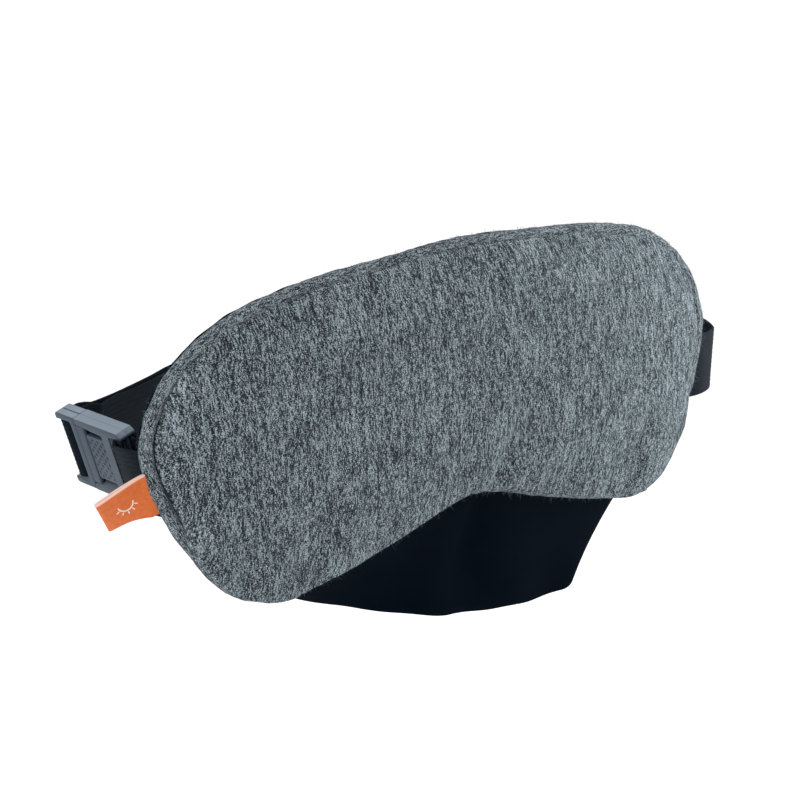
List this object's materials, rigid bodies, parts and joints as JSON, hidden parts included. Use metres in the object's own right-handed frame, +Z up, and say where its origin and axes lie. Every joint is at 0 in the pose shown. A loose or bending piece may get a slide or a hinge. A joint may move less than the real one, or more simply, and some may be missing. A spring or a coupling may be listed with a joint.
{
  "type": "eye massager mask",
  "caption": "Padded eye massager mask with vibration motors and a heater film inside, a nose flap, a folded side label, and an elastic head strap with a press-release buckle.",
  "frame": {"origin": "middle of the mask's skin-side face", "axes": "+X to the mask's right-hand end seen from the front, +Y towards the wearer's head, +Z up"},
  "size_m": [0.2535, 0.1183, 0.1214],
  "materials": {
    "knit": "heathered jersey knit, blue-grey",
    "satin": "smooth black woven lining",
    "foam": "open-cell foam and fibre wadding",
    "film": "thin heater film",
    "copper": "heavy metal eccentric weight",
    "steel": "drawn steel",
    "silicone": "moulded silicone rubber",
    "board": "glass-fibre circuit board",
    "lead": "insulated stranded wire",
    "inlet": "moulded black plastic",
    "webbing": "ribbed elastic webbing, near black",
    "plastic": "satin grey-blue moulded plastic",
    "label": "woven orange satin ribbon"
  },
  "bodies": {
    "mask": {"front_cover": "knit", "edge_piping": "knit", "back_cover": "satin", "front_wadding": "foam", "middle_foam": "foam", "comfort_foam": "foam", "heater_film": "film", "motor_can_brow_left": "steel", "motor_shaft_brow_left": "steel", "motor_plate_brow_left": "board", "motor_boot_brow_left": "silicone", "lead_brow_left": "lead", "motor_can_temple_left": "steel", "motor_shaft_temple_left": "steel", "motor_plate_temple_left": "board", "motor_boot_temple_left": "silicone", "lead_temple_left": "lead", "motor_can_brow_right": "steel", "motor_shaft_brow_right": "steel", "motor_plate_brow_right": "board", "motor_boot_brow_right": "silicone", "lead_brow_right": "lead", "motor_can_temple_right": "steel", "motor_shaft_temple_right": "steel", "motor_plate_temple_right": "board", "motor_boot_temple_right": "silicone", "lead_temple_right": "lead", "supply_lead": "lead", "junction_board": "board", "driver_chip": "inlet", "inlet_contact_tongue": "inlet", "inlet_grommet": "silicone", "inlet_shell": "steel"},
    "rotor_brow_left": {"rotor_weight_brow_left": "copper"},
    "rotor_temple_left": {"rotor_weight_temple_left": "copper"},
    "rotor_brow_right": {"rotor_weight_brow_right": "copper"},
    "rotor_temple_right": {"rotor_weight_temple_right": "copper"},
    "strap": {"short_webbing": "webbing", "rear_webbing": "webbing", "return_webbing": "webbing", "buckle_socket": "plastic"},
    "plug": {"buckle_plug": "plastic", "plug_webbing": "webbing"},
    "tongue": {"buckle_tongue": "plastic"},
    "slider": {"strap_slider": "plastic", "strap_end_loop": "webbing"},
    "flap": {"nose_flap": "satin"},
    "label": {"label_tab": "label"}
  },
  "joints": [
    {"name": "strap_swing", "type": "hinge", "parent": "mask", "child": "strap", "pos_m": [0, 0.0063, -0.008], "axis": [1, 0, 0], "range_deg": [-10, 10], "stiffness_Nm_per_rad": 1},
    {"name": "buckle_release", "type": "slide", "parent": "strap", "child": "plug", "axis": [-0.086, 0.9939, 0.069], "range_m": [0, 0.018]},
    {"name": "tongue_press", "type": "hinge", "parent": "plug", "child": "tongue", "pos_m": [-0.09273, 0.05057, -0.00542], "axis": [-0.2981, -0.0917, 0.9501], "range_deg": [0, 5], "stiffness_Nm_per_rad": 0.06},
    {"name": "slider_adjust", "type": "slide", "parent": "strap", "child": "slider", "axis": [1, 0, 0], "range_m": [0, 0.028]},
    {"name": "flap_fold", "type": "hinge", "parent": "mask", "child": "flap", "pos_m": [0, -0.005, -0.0262], "axis": [1, 0, 0], "range_deg": [0, 35]},
    {"name": "label_flex", "type": "hinge", "parent": "mask", "child": "label", "pos_m": [-0.1065, 0.0019, -0.0049], "axis": [-0.3298, -0.03, 0.9436], "range_deg": [-20, 35], "stiffness_Nm_per_rad": 0.002},
    {"name": "spin_brow_left", "type": "hinge", "parent": "mask", "child": "rotor_brow_left", "pos_m": [-0.04, -0.00707, 0.024], "axis": [0.0714, 0.9975, 0], "continuous": true},
    {"name": "spin_temple_left", "type": "hinge", "parent": "mask", "child": "rotor_temple_left", "pos_m": [-0.07583, -0.00335, 0.004], "axis": [0.1353, 0.9908, 0], "continuous": true},
    {"name": "spin_brow_right", "type": "hinge", "parent": "mask", "child": "rotor_brow_right", "pos_m": [0.04, -0.00707, 0.024], "axis": [-0.0714, 0.9975, 0], "continuous": true},
    {"name": "spin_temple_right", "type": "hinge", "parent": "mask", "child": "rotor_temple_right", "pos_m": [0.07583, -0.00335, 0.004], "axis": [-0.1353, 0.9908, 0], "continuous": true}
  ]
}
